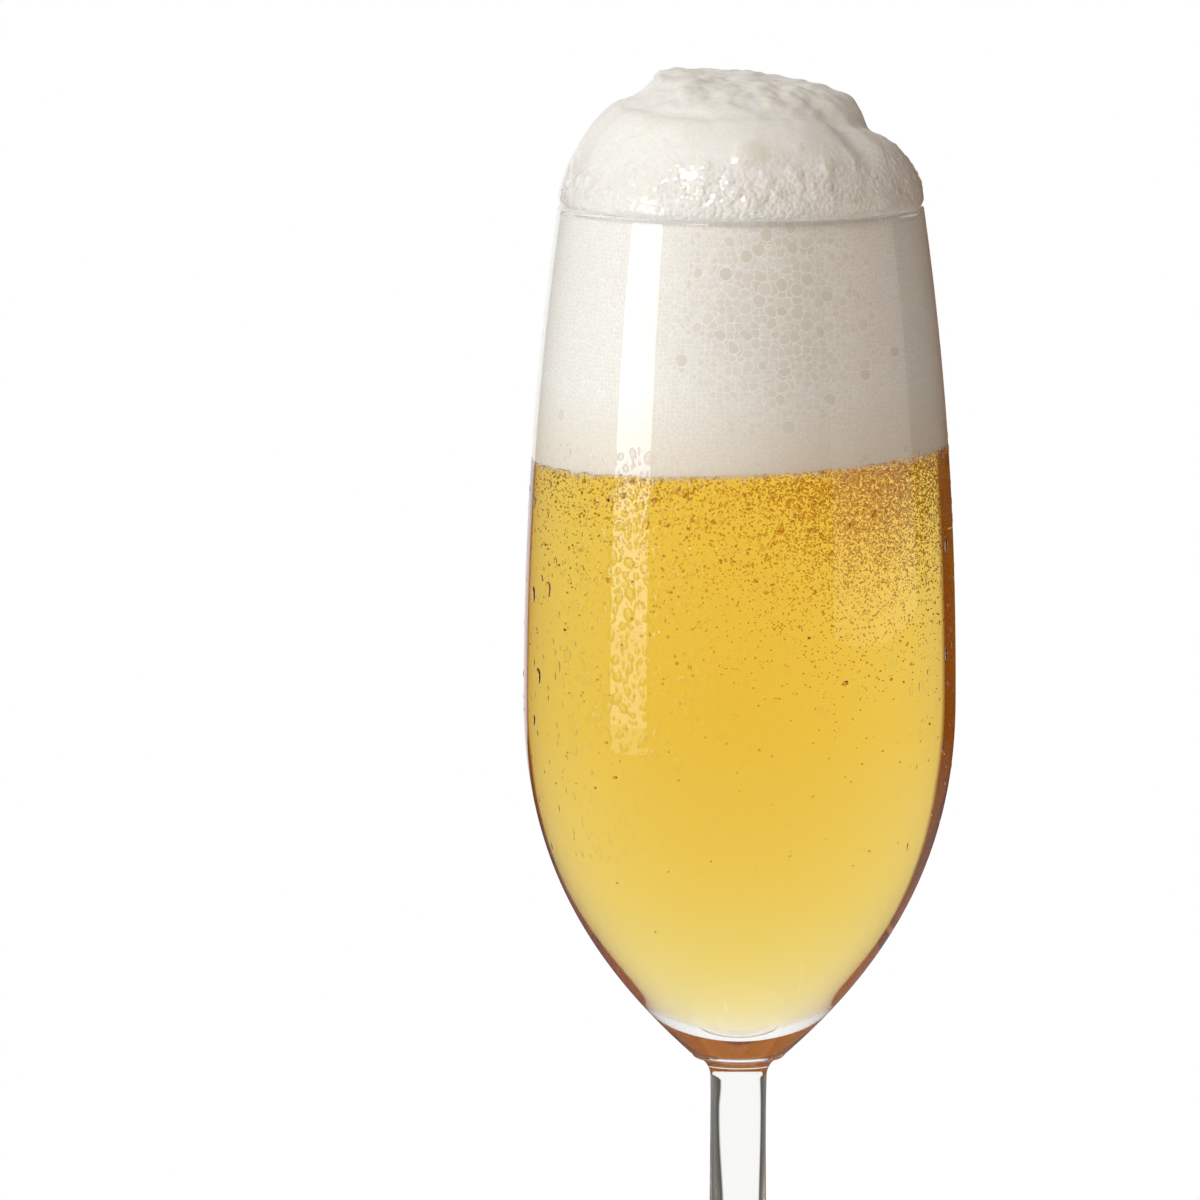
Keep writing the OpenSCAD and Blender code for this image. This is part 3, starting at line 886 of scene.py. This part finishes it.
def soft_lamp(name, bearing, distance, low, width, tall, radiance, tint, mirrored=True, lights=True, tilt=0):
    """A soft lamp that faces the glass. The bearing is in degrees, right of the camera's line."""
    lamp = bpy.data.lights.new(name, "AREA")
    lamp.shape = "RECTANGLE"
    lamp.size = width
    lamp.size_y = tall
    lamp.energy = radiance * math.pi * width * tall
    lamp.color = linear(tint)[:3]
    holder = bpy.data.objects.new(name, lamp)
    turn = math.radians(bearing)
    holder.location = (math.sin(turn) * distance, -math.cos(turn) * distance, low + tall / 2)
    holder.rotation_euler = (math.radians(90 - tilt), 0, turn)
    holder.visible_camera = False
    holder.visible_transmission = False
    holder.visible_glossy = mirrored
    holder.visible_diffuse = lights
    bpy.context.scene.collection.objects.link(holder)


# The strip lamp is dimmer towards its lower end. The glint lamp and the window only show as reflections.
for low, high, radiance in ((0.13, 0.272, 4.7), (0.09, 0.13, 3.7), (0.055, 0.09, 2.6), (0.025, 0.055, 1.3)):
    soft_lamp("left_strip_lamp", bearing=-59.6, distance=0.36, low=low, width=0.135, tall=high - low,
              radiance=radiance, tint="#e8f5ff")
soft_lamp("front_fill_lamp", bearing=-40, distance=1.0, low=0.8, width=1.0, tall=0.8,
          radiance=4.6, tint="#fffbf4", mirrored=False, tilt=45)
soft_lamp("glint_lamp", bearing=-32, distance=1.0, low=0.8, width=0.26, tall=0.26,
          radiance=26, tint="#ffffff", lights=False, tilt=40)
soft_lamp("right_card", bearing=78, distance=0.5, low=0.002, width=0.55, tall=0.3,
          radiance=0.42, tint="#ffe2c2", mirrored=False)
soft_lamp("right_window", bearing=77, distance=0.5, low=0.065, width=0.54, tall=0.2,
          radiance=0.75, tint="#fff6ec", lights=False)

# Camera: a long lens from a little above the rim, with the foot below the frame.
picture_px = 1200
focal_px = 7813.7
camera_data = bpy.data.cameras.new("camera")
camera_data.sensor_width = 36
camera_data.lens = focal_px / picture_px * camera_data.sensor_width
camera = bpy.data.objects.new("camera", camera_data)
camera.location = Vector((-22.6, -1250, 311)) * MM
aim = Vector((-22.6, 0, 125.8)) * MM
camera.rotation_euler = (aim - camera.location).to_track_quat("-Z", "Y").to_euler()
scene = bpy.context.scene
scene.collection.objects.link(camera)
scene.camera = camera
scene.view_settings.view_transform = "Standard"
scene.cycles.max_bounces = 32
scene.cycles.transmission_bounces = 32
scene.cycles.glossy_bounces = 16
scene.cycles.use_denoising = True
